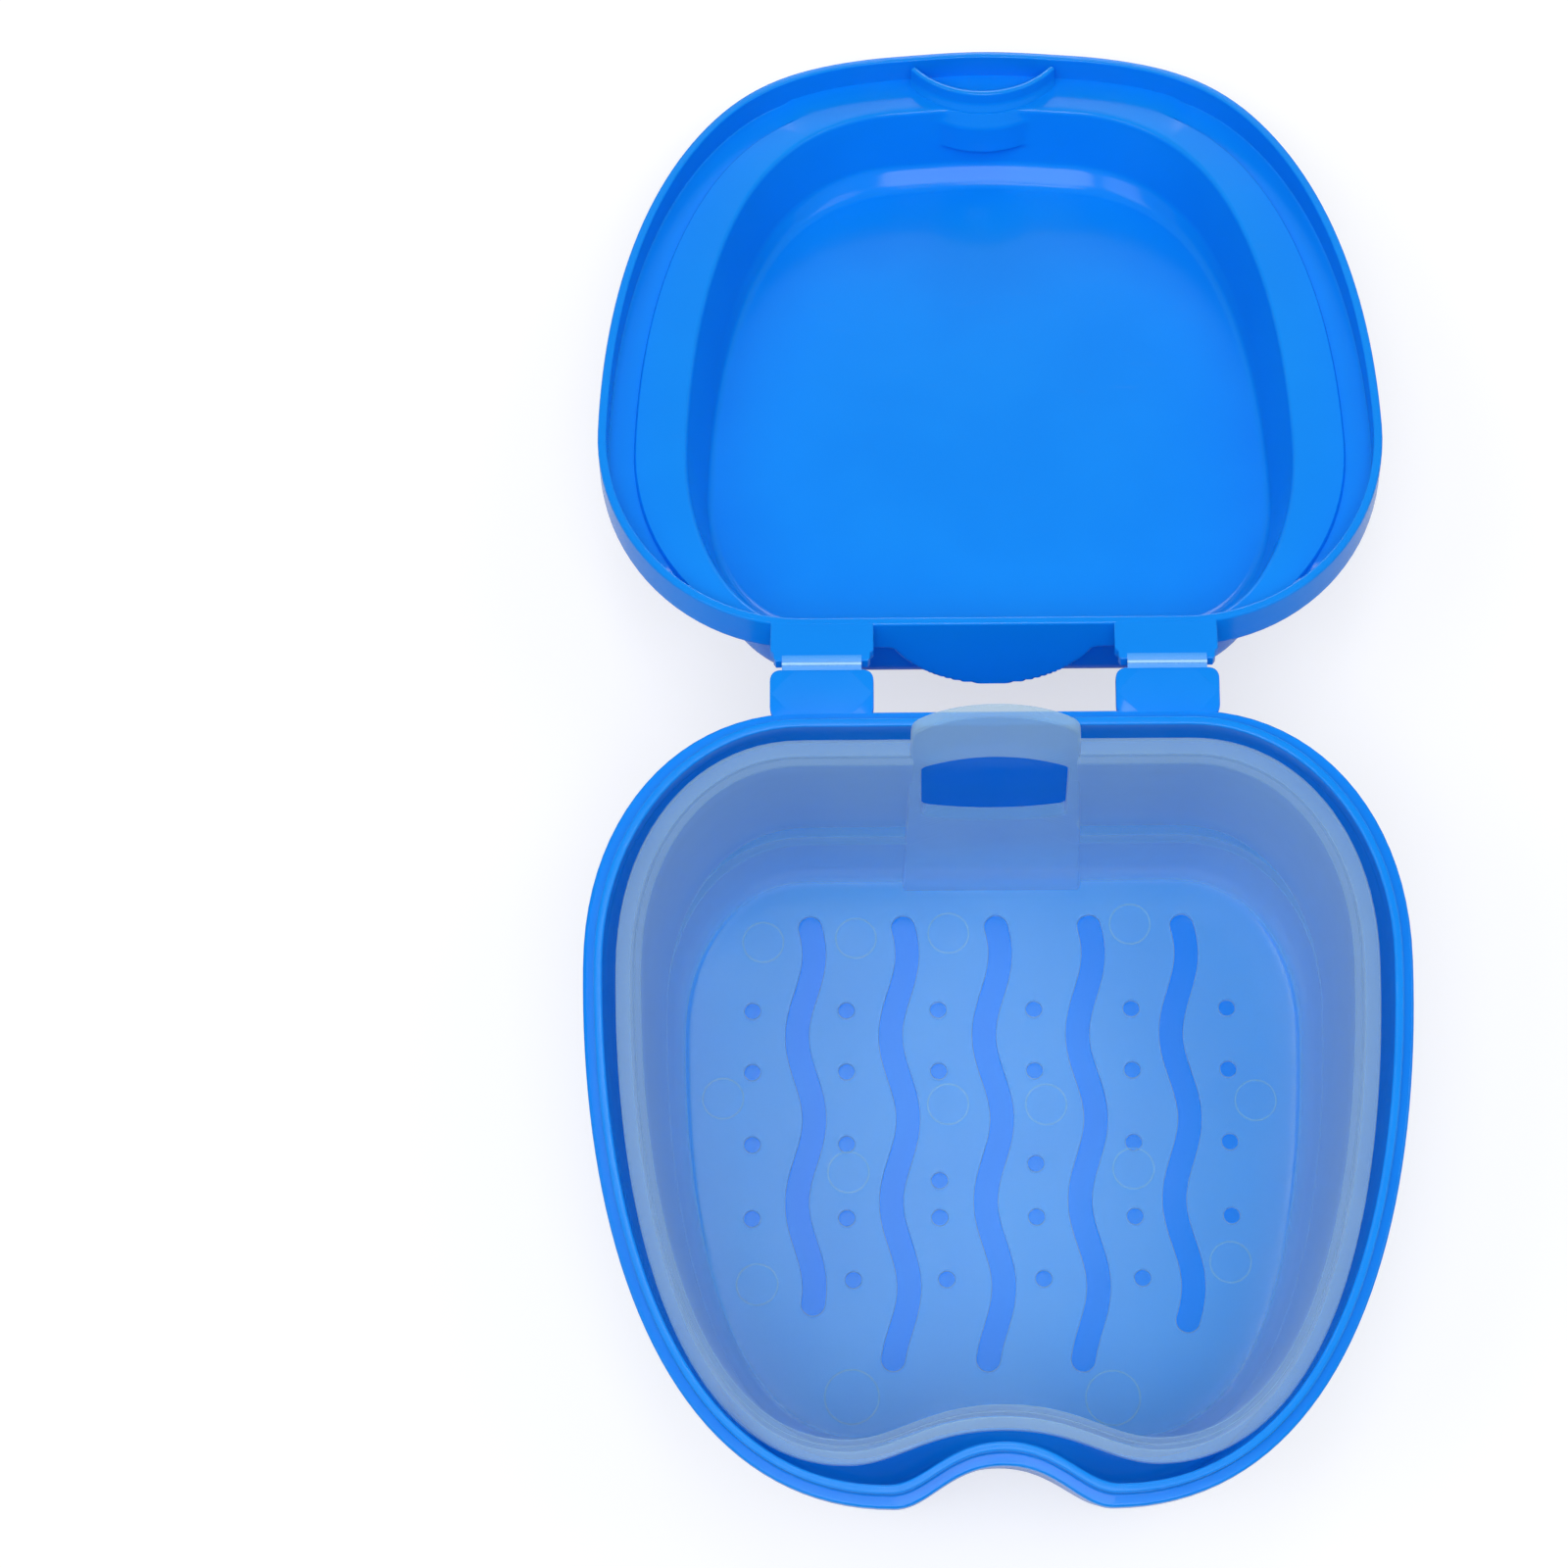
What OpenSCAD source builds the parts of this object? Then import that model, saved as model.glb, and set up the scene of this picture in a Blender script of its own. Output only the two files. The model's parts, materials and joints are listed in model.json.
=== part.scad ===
// Denture case: an apple-shaped box with a lid on two moulded-in strap hinges
// and a lift-out straining basket. It is drawn open, as it stands on a table.
// The origin is the middle of the face that the case rests on, +Z is up,
// and the hinge is at the back, towards +Y.

/* [Case] */
// Width of the case at its widest
case_w = 85; // [82:0.5:88]
// Length of the base from its back edge to its two front lobes
base_len = 82; // [81:0.5:83]
// Height of the base from the table to the shoulder that the lid sits on
base_h = 41; // [40.8:0.1:44]
// How far the notch at the front goes in from the lobes
notch_depth = 4.2; // [3.8:0.1:4.6]
// How far each wall of the base leans in, in degrees
wall_draft = 5.5; // [4.5:0.1:5.7]
// Thickness of the base's wall low down
wall_t = 1.6; // [1.4:0.1:1.8]
// Thickness of the base's floor
floor_t = 1.9; // [1.6:0.1:1.9]

/* [Rim] */
// Height of the upstand that the lid's skirt goes over
upstand_h = 2.2; // [1.6:0.1:2.3]
// Thickness of the upstand
upstand_t = 0.9; // [0.8:0.05:1]
// Width of the shoulder round the upstand
shoulder_w = 1.25; // [1.2:0.05:1.35]

/* [Lid] */
// Depth of the lid from its rim to the outside of its top
lid_h = 14; // [13.5:0.1:14.2]
// Height of the lid's skirt
skirt_h = 4.4; // [4.3:0.1:4.6]
// Thickness of the lid's skirt
skirt_t = 0.95; // [0.85:0.05:1]
// Thickness of the lid's ledge, dome and top
lid_t = 1.3; // [1.2:0.05:1.4]
// How far the lid is turned back from closed, in degrees
lid_open = 200.5; // [0:0.5:200.5]

/* [Hinge straps] */
// Width of each hinge leaf
leaf_w = 10.8; // [9:0.2:12]
// Distance between the middles of the two straps
strap_pitch = 36; // [34:0.5:38]
// Thickness of a leaf
leaf_t = 1.3; // [1.1:0.1:1.5]
// Width of the thin web between the leaves
web_w = 8.3; // [7:0.1:8.3]
// Thickness of the web
web_t = 0.4; // [0.3:0.05:0.5]

/* [Basket] */
// Depth inside the basket from its rim to its floor
basket_depth = 37.4; // [36:0.1:37.4]
// Thickness of the basket's wall and floor
basket_t = 1.2; // [1:0.1:1.2]
// Width of a drain slot
slot_w = 2.6; // [2:0.1:3]
// Sideways swing of a slot to either side
slot_swing = 0.95; // [0.5:0.05:1.2]
// Length of one wave of a slot
slot_wave = 18.6; // [16:0.2:21]
// Diameter of a drain hole
hole_d = 1.8; // [1.4:0.1:2.2]
// Height of the handle above the shoulder of the base
handle_up = 9.5; // [8.5:0.1:9.5]
// Thickness of the handle's plate
handle_t = 1.5; // [1.3:0.1:1.5]

/* [Hidden] */

shell_blue = [0.07, 0.52, 0.96];
web_blue = [0.45, 0.75, 1];
frosted = [0.66, 0.77, 0.96];

// Plan of the case. Distances d run forwards from the hinge line.
back_d = 5.2;
front_d = back_d + base_len;
hinge_y = back_d + base_len / 2;
half_w = case_w / 2;
wide_d = 32;
corner_x = 20;
side_pull = 0.54;
front_pull = 0.70;
lobe_x = 10.9;
lobe_spread = 0.3;
lobe_pull = 0.32;
notch_pull = 0.50;

// Steps along the back, the corner, the side and the notch of half an outline
n_back = 9;
back_step = 1.25;
n_corner = 9;
n_side = 12;
n_notch = 9;

function bez(a, b, c, d, t) =
    pow(1 - t, 3) * a + 3 * t * pow(1 - t, 2) * b + 3 * t * t * (1 - t) * c + t * t * t * d;

// Right half of an outline: a straight back, a round corner, a long side and the front notch.
// w is the half width, b the back, f the lobes, dip the notch and lx where the lobes are.
function half_outline(w, b, f, dip, lx) = concat(
    [for (i = [0 : n_back]) [i * back_step, b]],
    [for (i = [0 : n_corner - 1]) let (a = 90 * i / n_corner)
        [corner_x + (w - corner_x) * sin(a), wide_d - (wide_d - b) * cos(a)]],
    [for (i = [0 : n_side - 1])
        bez([w, wide_d], [w, wide_d + side_pull * (f - wide_d)],
            [lx + front_pull * (w - lx), f], [lx, f], i / n_side)],
    [for (i = [0 : n_notch])
        bez([lx, f], [lx * (1 - lobe_pull), f], [lx * notch_pull, f - dip], [0, f - dip], i / n_notch)]);

// Whole outline, clockwise from above, in the part's own X and Y
function outline(w, b, f, dip, lx) =
    let (h = half_outline(w, b, f, dip, lx), n = len(h))
    concat([for (p = h) [p[0], -p[1]]], [for (i = [n - 2 : -1 : 1]) [-h[i][0], -h[i][1]]]);

// A ring of a loft at height row[0]. The next five values of a row are its outline's.
function ring(row) = [for (p = outline(row[1], row[2], row[3], row[4], row[5])) [p[0], p[1], row[0]]];

// A solid through rings of points. It ends in flat caps, or joins its last ring to its first.
// A cap's triangles meet at its middle.
module loft(rings, joined = false) {
    n = len(rings[0]);
    m = len(rings);
    last = joined ? m - 1 : m - 2;
    middles = [for (r = [rings[0], rings[m - 1]]) [0, (r[0][1] + r[n / 2][1]) / 2, r[0][2]]];
    walls = [for (j = [0 : last]) for (i = [0 : n - 1])
        let (a = j * n, b = ((j + 1) % m) * n, k = (i + 1) % n)
        for (half = [0, 1]) half == 0 ? [a + i, a + k, b + k] : [a + i, b + k, b + i]];
    caps = joined ? [] : [for (i = [0 : n - 1]) let (k = (i + 1) % n, a = (m - 1) * n)
        for (end = [0, 1]) end == 0 ? [m * n, k, i] : [m * n + 1, a + i, a + k]];
    polyhedron(points = concat([for (r = rings) for (p = r) p], joined ? [] : middles),
        faces = concat(walls, caps), convexity = 8);
}

module at_shoulder() {
    translate([0, hinge_y, base_h]) children();
}

// Base. A row is the case's outline drawn in by i, at height z above the shoulder.
function base_row(z, i) = ring([z, half_w - i, back_d + i, front_d - i, notch_depth, lobe_x + lobe_spread * i]);

edge_h = 1.6;
floor_z = floor_t - base_h;
lean = tan(wall_draft);
low_z = floor_z + 4.5;
low_in = (-low_z - edge_h) * lean;
inner_top = shoulder_w + upstand_t;
inner_low = low_in + wall_t;

module base_shell() {
    color(shell_blue)
    at_shoulder()
    loft([
        base_row(-base_h, low_in + 5.0),
        base_row(0.25 - base_h, low_in + 3.9),
        base_row(1.6 - base_h, low_in + 2.0),
        base_row(3.6 - base_h, low_in + 0.7),
        base_row(low_z, low_in),
        base_row(-edge_h, 0),
        base_row(-0.3, 0),
        base_row(0, 0.25),
        base_row(0, shoulder_w),
        base_row(upstand_h - 0.25, shoulder_w),
        base_row(upstand_h, shoulder_w + 0.2),
        base_row(upstand_h, inner_top - 0.2),
        base_row(upstand_h - 0.25, inner_top),
        base_row(-edge_h, inner_top + 0.1),
        base_row(low_z, inner_low),
        base_row(floor_z + 1.6, inner_low + 0.8),
        base_row(floor_z + 0.4, inner_low + 2.1),
        base_row(floor_z, inner_low + 3.8)]);
}

// Hinge straps. The hinge line is at the shoulder's height, behind the case.
strap_x = strap_pitch / 2;
leaf_end = 0.55;
leaf_round = 1.2;

// A leaf runs from its end near the hinge line to the back of the case
module leaf(side) {
    linear_extrude(leaf_t)
    difference() {
        translate([side * strap_x, 0])
        union() {
            translate([-leaf_w / 2, -back_d - 1])
            square([leaf_w, back_d + 1 - leaf_end - leaf_round]);
            translate([-leaf_w / 2 + leaf_round, -leaf_end - leaf_round - 0.1])
            square([leaf_w - 2 * leaf_round, leaf_round + 0.1]);
            for (s = [-1, 1])
                translate([s * (leaf_w / 2 - leaf_round), -leaf_end - leaf_round])
                circle(r = leaf_round, $fn = 24);
        }
        polygon(outline(half_w, back_d, front_d, notch_depth, lobe_x));
    }
}

module base_leaf(side) {
    color(shell_blue)
    at_shoulder()
    translate([0, 0, -leaf_t])
    leaf(side);
}

module base_leaf_left() base_leaf(-1);
module base_leaf_right() base_leaf(1);

// The thin web, bent as it lies with the lid turned back
web_gap = 0.02;
function turned(y, z) = [y * cos(lid_open) + z * sin(lid_open), -y * sin(lid_open) + z * cos(lid_open)];

module hinge_web(side) {
    bend = (lid_open - 180) / 2;
    lid_top = turned(-leaf_end + web_gap, 0);
    lid_low = turned(-leaf_end + web_gap, web_t);
    color(web_blue)
    at_shoulder()
    translate([side * strap_x - web_w / 2, 0, 0])
    rotate([90, 0, 90])
    linear_extrude(web_w)
    polygon([[-leaf_end, 0], [0, 0], lid_top, lid_low, [-web_t * tan(bend), -web_t], [-leaf_end, -web_t]]);
}

module hinge_web_left() hinge_web(-1);
module hinge_web_right() hinge_web(1);

// The lid is drawn closed, over the base, and then turned back about the hinge line
module turned_back() {
    at_shoulder() rotate([-lid_open, 0, 0]) children();
}

rim_gap = 0.1;
lid_front = 88.3;
lid_flat = 10;
ledge_in = skirt_h - lid_t;
top_in = lid_h - lid_t;
dome_w = 33;
dome_back = 7.6;
dome_front = 82;
top_w = 31;
top_back = 10.3;
top_front = 79.4;

// Finger scoop at the front: a round dent in the dome that goes on below the ledge as a curved rib
// beside the notch of the base. scoop_face is how far forward its middle is at each height.
scoop_face = [[0, 82.75], [3.1, 82.75], [4.8, 80.1], [13, 79.5]];
scoop_r = 15.2;
scoop_t = 1.2;
rib_t = 0.7;
rib_z = 0.7;

// The lesser of two distances, rounded off where they are about the same
blend_r = 0.4;
function soft_min(a, b) = (a + b) / 2 - norm([(a - b) / 2, blend_r]);

// Where the scoop's surface is at x and height z, drawn back by t. Beside the scoop it is out of reach.
function scoop_at(x, z, t) =
    let (q = pow(scoop_r - t, 2) - x * x)
    q > 0 ? lookup(z, scoop_face) + scoop_r - sqrt(q) : 1000;

// Pocket at the back, arched like the handle that stands in it
pocket_z = -0.9;
pocket_r = 11.1;
pocket_t = 1;
pocket_soft = 1;
pocket_front = 20;
function clamp01(v) = min(1, max(0, v));
function in_pocket(x, z, r) = clamp01((r - norm([x, z - pocket_z])) / pocket_soft + 0.5);

// A point of the lid's outside or inside at distance d, with the scoop and the pocket worked in
function lid_point(x, d, z, t, r, wall) =
    let (s = soft_min(d, scoop_at(x, z, t)), k = d < pocket_front ? in_pocket(x, z, r) : 0)
    [x, -(s + (wall - s) * k), z];

function lid_ring(z, w, b, f, inside) =
    let (t = inside ? 0 : scoop_t, r = inside ? pocket_r : pocket_r + pocket_t,
        wall = inside ? back_d + skirt_t : back_d)
    [for (p = outline(w, b, f, 0, lid_flat)) lid_point(p[0], -p[1], z, t, r, wall)];

function plain_ring(z, i) = ring([z, half_w - i, back_d + i, lid_front - i, 0, lid_flat]);
function skirt_ring(z, i) = lid_ring(z, half_w - i, back_d + i, lid_front - i, false);

// Rings of the dome, from its foot at t = 0 to its top at t = 1, drawn out by o
function dome_ring(z, t, o, inside) = lid_ring(z, dome_w + (top_w - dome_w) * t + o,
    dome_back + (top_back - dome_back) * t - o, dome_front + (top_front - dome_front) * t + o, inside);

// Rings of the ledge's inside, which the rib stands on. up says that the ring is on the rib's top.
function rib_ring(i, t, drop, up) =
    let (wall = back_d + skirt_t)
    [for (p = outline(half_w - i, back_d + i, lid_front - i, 0, lid_flat))
        let (d = -p[1], k = d < pocket_front ? in_pocket(p[0], ledge_in, pocket_r) : 0,
            rib = d > pocket_front && scoop_at(p[0], rib_z, 0) < d,
            z = up && rib ? rib_z : ledge_in + drop,
            s = min(d, scoop_at(p[0], min(z, ledge_in), t)))
        [p[0], -(s + (wall - s) * k), z]];

module lid_shell() {
    color(shell_blue)
    turned_back()
    loft([
        dome_ring(top_in, 1, -2.2, true),
        dome_ring(top_in - 0.15, 1, -1.2, true),
        dome_ring(top_in - 0.7, 0.95, -0.4, true),
        dome_ring(top_in - 1.9, 0.83, 0, true),
        dome_ring(9.9, 0.7, 0, true),
        dome_ring(9.3, 0.64, 0, true),
        dome_ring(8.2, 0.53, 0, true),
        dome_ring(6.8, 0.38, 0, true),
        dome_ring(5.4, 0.22, 0, true),
        dome_ring(4.2, 0.1, 0, true),
        dome_ring(ledge_in + 0.5, 0.04, 0.1, true),
        dome_ring(ledge_in + 0.2, 0, 0.4, true),
        rib_ring(skirt_t + 0.7, 0, 0.16, false),
        rib_ring(skirt_t + 0.55, 0, 0.12, true),
        rib_ring(skirt_t + 0.4, rib_t, 0.08, true),
        rib_ring(skirt_t + 0.25, rib_t, 0.04, false),
        plain_ring(ledge_in, skirt_t),
        plain_ring(rim_gap, skirt_t),
        plain_ring(rim_gap, 0.2),
        plain_ring(rim_gap + 0.2, 0),
        plain_ring(skirt_h - 0.6, 0),
        skirt_ring(skirt_h - 0.15, 0.15),
        skirt_ring(skirt_h, 0.5),
        dome_ring(skirt_h + 0.1, 0, lid_t + 0.5, false),
        dome_ring(skirt_h + 0.6, 0.08, lid_t + 0.05, false),
        dome_ring(6.3, 0.26, lid_t, false),
        dome_ring(7.8, 0.42, lid_t, false),
        dome_ring(9.2, 0.58, lid_t, false),
        dome_ring(10.3, 0.7, lid_t, false),
        dome_ring(11, 0.78, lid_t - 0.1, false),
        dome_ring(lid_h - 2, 0.88, lid_t - 0.2, false),
        dome_ring(lid_h - 0.8, 0.98, lid_t - 0.9, false),
        dome_ring(lid_h - 0.15, 1, lid_t - 2, false),
        dome_ring(lid_h, 1, lid_t - 3.2, false)]);
}

module lid_leaf(side) {
    color(shell_blue)
    turned_back()
    translate([0, 0, rim_gap])
    leaf(side);
}

module lid_leaf_left() lid_leaf(-1);
module lid_leaf_right() lid_leaf(1);

// Basket. Heights are from the shoulder of the base.
basket_z = -0.5;
basket_top = basket_z - basket_depth;
basket_low = basket_top - basket_t;
flange_t = 1.4;
step_h = 0.7;
ledge_z = -24;
floor_edge = [32.6, 15.2, 75.0, 2.6, 14];

// The wall is open above and below. Its foot fits round the edge of the floor.
module basket_wall() {
    t = basket_t;
    color(frosted)
    at_shoulder()
    difference() {
        loft([for (r = [
            concat([basket_low], floor_edge),
            [basket_low, 33.3, 14.8, 75.7, 2.7, 14.2],
            [basket_low + 0.5, 34.2, 14.1, 76.6, 2.8, 14.5],
            [basket_low + 2.1, 35.1, 13.2, 77.7, 3.0, 15],
            [basket_low + 5.5, 34.7 + t, 13.9 - t, 77.0 + t, 3.1, 15.3],
            [ledge_z - t, 35.2 + t, 13.4 - t, 78.5 + t, 3.2, 15.6],
            [ledge_z - t + 0.2, 35.3 + t, 11.6 - t, 78.6 + t, 3.2, 15.6],
            [basket_z - flange_t, 36.6 + t, 10.6 - t, 80.2 + t, 3.4, 15.6],
            [basket_z - flange_t, 39.2, 8.0, 82.8, 3.4, 15.6],
            [basket_z - 0.2, 39.2, 8.0, 82.8, 3.4, 15.6],
            [basket_z, 39.0, 8.2, 82.6, 3.4, 15.6],
            [basket_z, 37.4, 9.8, 81.0, 3.4, 15.6],
            [basket_z - step_h, 37.3, 9.9, 80.9, 3.4, 15.6],
            [basket_z - step_h, 36.6, 10.6, 80.2, 3.4, 15.6],
            [ledge_z + 0.2, 35.3, 11.6, 78.6, 3.2, 15.6],
            [ledge_z, 35.2, 13.4, 78.5, 3.2, 15.6],
            [basket_top + 4.5, 34.7, 13.9, 77.0, 3.1, 15.3],
            [basket_top + 1.5, 34.0, 14.2, 76.0, 3.0, 15],
            [basket_top + 0.3, 33.2, 14.7, 75.4, 2.8, 14.5],
            concat([basket_top], floor_edge)]) ring(r)], joined = true);
        plate(-5, 8, 1);
    }
}

// The handle is a plate that closes the basket's back and leans back as it rises.
// foot_d and top_d are its front face's distances from the hinge line.
foot_d = 15.4;
top_d = 8.4;
foot_half = 9.9;
top_half = 8.7;
arch_r = 10.5;
arch_drop = 4.6;
handle_run = handle_up - basket_top;
handle_tilt = atan((foot_d - top_d) / handle_run);
plate_len = handle_run / cos(handle_tilt);

// Stands a flat shape up where the plate is, from depth t0 to t1 behind its front face
module leaned(t0, t1) {
    translate([0, -foot_d, basket_top])
    rotate([-handle_tilt, 0, 0])
    translate([0, t1, 0])
    rotate([90, 0, 0])
    linear_extrude(t1 - t0)
    children();
}

module plate(t0, t1, low) {
    slope = (foot_half - top_half) / plate_len;
    leaned(t0, t1)
    intersection() {
        polygon([[-foot_half - slope * (low + 1), -low - 1], [foot_half + slope * (low + 1), -low - 1],
            [top_half - slope, plate_len + 1], [slope - top_half, plate_len + 1]]);
        union() {
            translate([0, plate_len - arch_r]) circle(r = arch_r, $fn = 96);
            translate([-2 * foot_half, -low - 1]) square([4 * foot_half, plate_len - arch_drop + low + 1]);
        }
    }
}

// The window for a finger, with an arched top and a foot that sags a little
window_half = 7.7;
window_low = -17.5;
window_high = -1;
window_arch = 12;
window_sag = 23.5;
module window() {
    up = (window_high - basket_top) / cos(handle_tilt);
    low = (window_low - basket_top) / cos(handle_tilt);
    leaned(-2, 5)
    intersection() {
        translate([-window_half, low]) square([2 * window_half, up - low]);
        translate([0, up - window_arch]) circle(r = window_arch, $fn = 96);
        translate([0, low + window_sag]) circle(r = window_sag, $fn = 128);
    }
}

module basket_handle() {
    color(frosted)
    at_shoulder()
    difference() {
        plate(0, handle_t, 3);
        translate([-60, -60, basket_low - 20]) cube([120, 120, 20]);
        window();
    }
}

// Drain slots: waves of one width with round ends
slot_pitch = 10.35;
slot_back = 19.5;
slot_crest = 22.5;
slot_ends = [61.5, 67.6, 67.7, 67.8, 63.6];
slot_steps = 20;
end_steps = 8;

function slot_phase(d) = 360 * (d - slot_crest) / slot_wave;
function slot_x(x0, d) = x0 + slot_swing * cos(slot_phase(d));
function slot_turn(d) = atan(-slot_swing * 2 * PI / slot_wave * sin(slot_phase(d)));

// A point of a slot's edge, at an angle a from the normal to its middle line
function slot_point(x0, d, a) =
    [slot_x(x0, d), -d] + slot_w / 2 * [cos(slot_turn(d) + a), sin(slot_turn(d) + a)];

module slot(x0, d1) {
    step = (d1 - slot_back) / slot_steps;
    polygon(concat(
        [for (i = [0 : slot_steps]) slot_point(x0, slot_back + i * step, 0)],
        [for (k = [1 : end_steps - 1]) slot_point(x0, d1, -180 * k / end_steps)],
        [for (i = [slot_steps : -1 : 0]) slot_point(x0, slot_back + i * step, 180)],
        [for (k = [1 : end_steps - 1]) slot_point(x0, slot_back, 180 - 180 * k / end_steps)]));
}

// Drain holes, in rows between the slots. Two holes of the third row sit lower.
hole_rows = [28.9, 35.8, 43.9, 52.1, 58.9];
hole_cols = [-26.6, -16.2, -6.0, 4.6, 15.4, 26.0];
hole_drops = [0, 0, 4.1, 2.3, 0, 0];
last_push = 0.7;

module holes() {
    for (r = [0 : 4]) for (c = [0 : 5])
        if (r < 4 || (c > 0 && c < 5))
            translate([hole_cols[c] + (r == 4 ? last_push : 0), -hole_rows[r] - (r == 2 ? hole_drops[c] : 0),
                basket_low - 1])
            cylinder(d = hole_d, h = basket_t + 2, $fn = 24);
}

module basket_floor() {
    e = floor_edge;
    color(frosted)
    at_shoulder()
    difference() {
        translate([0, 0, basket_low]) linear_extrude(basket_t) polygon(outline(e[0], e[1], e[2], e[3], e[4]));
        plate(0, handle_t + 3, 3);
        translate([0, 0, basket_low - 1])
        linear_extrude(basket_t + 2)
        for (i = [0 : 4]) slot((i - 2) * slot_pitch, slot_ends[i]);
        holes();
    }
}

base_shell();
base_leaf_left();
base_leaf_right();
hinge_web_left();
hinge_web_right();
lid_shell();
lid_leaf_left();
lid_leaf_right();
basket_wall();
basket_floor();
basket_handle();
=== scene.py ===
# %% [markdown]
# # A denture case in Blender
# This lesson dresses a small plastic case: a blue shell with a lid on two thin moulded hinges, and a
# milky basket that lifts out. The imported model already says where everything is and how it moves, so
# nothing here is fitted by eye. Each piece is made again as a finer mesh in the same place.

# %% Load the frame
import json
import math

import bmesh
import bpy
import numpy as np
from mathutils import Matrix, Vector
from mathutils.geometry import delaunay_2d_cdt

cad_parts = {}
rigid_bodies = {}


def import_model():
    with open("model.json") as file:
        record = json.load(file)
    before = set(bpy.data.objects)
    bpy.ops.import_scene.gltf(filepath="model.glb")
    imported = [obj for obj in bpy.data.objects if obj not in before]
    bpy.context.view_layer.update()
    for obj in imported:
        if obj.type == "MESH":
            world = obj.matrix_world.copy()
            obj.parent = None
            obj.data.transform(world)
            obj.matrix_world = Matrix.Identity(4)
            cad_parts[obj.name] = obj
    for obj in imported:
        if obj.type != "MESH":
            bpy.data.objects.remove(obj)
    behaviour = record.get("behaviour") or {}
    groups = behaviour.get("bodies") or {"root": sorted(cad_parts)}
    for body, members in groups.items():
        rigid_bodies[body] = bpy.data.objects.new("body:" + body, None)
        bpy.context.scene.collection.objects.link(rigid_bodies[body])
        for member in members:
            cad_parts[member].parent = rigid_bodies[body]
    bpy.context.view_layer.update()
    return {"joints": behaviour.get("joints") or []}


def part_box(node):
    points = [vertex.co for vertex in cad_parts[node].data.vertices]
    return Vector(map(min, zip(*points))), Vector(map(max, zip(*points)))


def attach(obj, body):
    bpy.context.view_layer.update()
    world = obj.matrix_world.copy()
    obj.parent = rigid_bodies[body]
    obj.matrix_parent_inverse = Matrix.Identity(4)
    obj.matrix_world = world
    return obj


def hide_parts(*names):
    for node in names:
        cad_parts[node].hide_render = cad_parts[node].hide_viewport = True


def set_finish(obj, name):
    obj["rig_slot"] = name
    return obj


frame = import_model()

# %% [markdown]
# ## Sizes that everything shares
# A case like this is drawn round one line, the hinge. Distances `d` run forwards from it, `z` runs up
# from the face where lid and base meet, and both are in millimetres. The hinge's place and the angle of
# the opened lid come from the frame's joint, and the size of the base from its box.

# %% Driving sizes
MM = 0.001
hinge = next(j for j in frame["joints"] if j["name"] == "lid_hinge")
HINGE_Y, SHOULDER_Z = hinge["pos_m"][1] / MM, hinge["pos_m"][2] / MM
LID_TURN = math.radians(hinge["range_deg"][1])
base_low, base_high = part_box("base_shell")
HALF_W = base_high[0] / MM
BACK_D = HINGE_Y - base_high[1] / MM
FRONT_D = HINGE_Y - base_low[1] / MM
UPSTAND_H = base_high[2] / MM - SHOULDER_Z
NOTCH_DIP, LOBE_X = 4.2, 10.9
print(f"half width {HALF_W:.2f}, back {BACK_D:.2f}, front {FRONT_D:.2f}, upstand {UPSTAND_H:.2f} mm")

# %% [markdown]
# ## One outline for every ring
# Base, lid and basket share one plan: a straight back, round corners, long sides that draw in, and a
# front that is straight or dips into a notch between two lobes. It could be traced as a long list of
# points, but a maker would draw it with an ellipse and two Bezier curves, so a few sizes steer it all.

# %% The outline
CORNER_X, WIDE_D, CORNER_FULL = 20.0, 32.0, 0.94
SIDE_PULL, FRONT_PULL, LOBE_PULL, NOTCH_PULL = 0.54, 0.70, 0.32, 0.50


def bezier(points, count, last=False):
    t = np.linspace(0, 1, count + 1)[: count + 1 if last else count, None]
    a, b, c, d = np.array(points, float)
    return (1 - t) ** 3 * a + 3 * t * (1 - t) ** 2 * b + 3 * t * t * (1 - t) * c + t ** 3 * d


def outline(w, back, front, dip, lobe, counts=(4, 22, 40, 26), back_reach=13.0, full=CORNER_FULL):
    """Points (x, d) round the plan, from the middle of its back."""
    n_back, n_corner, n_side, n_front = counts
    x = np.linspace(0, back_reach, n_back + 1)
    turn = np.linspace(0, math.pi / 2, n_corner + 1)[:-1]
    across, along = np.sin(turn) ** full, np.cos(turn) ** full
    half = np.concatenate([
        np.stack([x, np.full_like(x, back)], 1),
        np.stack([CORNER_X + (w - CORNER_X) * across, WIDE_D - (WIDE_D - back) * along], 1),
        bezier([(w, WIDE_D), (w, WIDE_D + SIDE_PULL * (front - WIDE_D)),
                (lobe + FRONT_PULL * (w - lobe), front), (lobe, front)], n_side),
        bezier([(lobe, front), (lobe * (1 - LOBE_PULL), front), (lobe * NOTCH_PULL, front - dip),
                (0, front - dip)], n_front, last=True)])
    return np.concatenate([half, half[-2:0:-1] * np.array([-1, 1])])


def ring_at(z, *plan, full=CORNER_FULL):
    flat = outline(*plan, full=full)
    return np.column_stack([flat, np.full(len(flat), z)])


print("points in a ring:", len(outline(HALF_W, BACK_D, FRONT_D, NOTCH_DIP, LOBE_X)))

# %% [markdown]
# ## Profiles with rounded corners
# A moulding has no sharp edge. Each wall is written as a profile of a few corners with a radius each,
# and this helper swaps a corner for a short curve. A Bevel modifier could do it later, but here the
# radius stays beside the corner it belongs to, and the mesh comes out in even rings.

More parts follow.
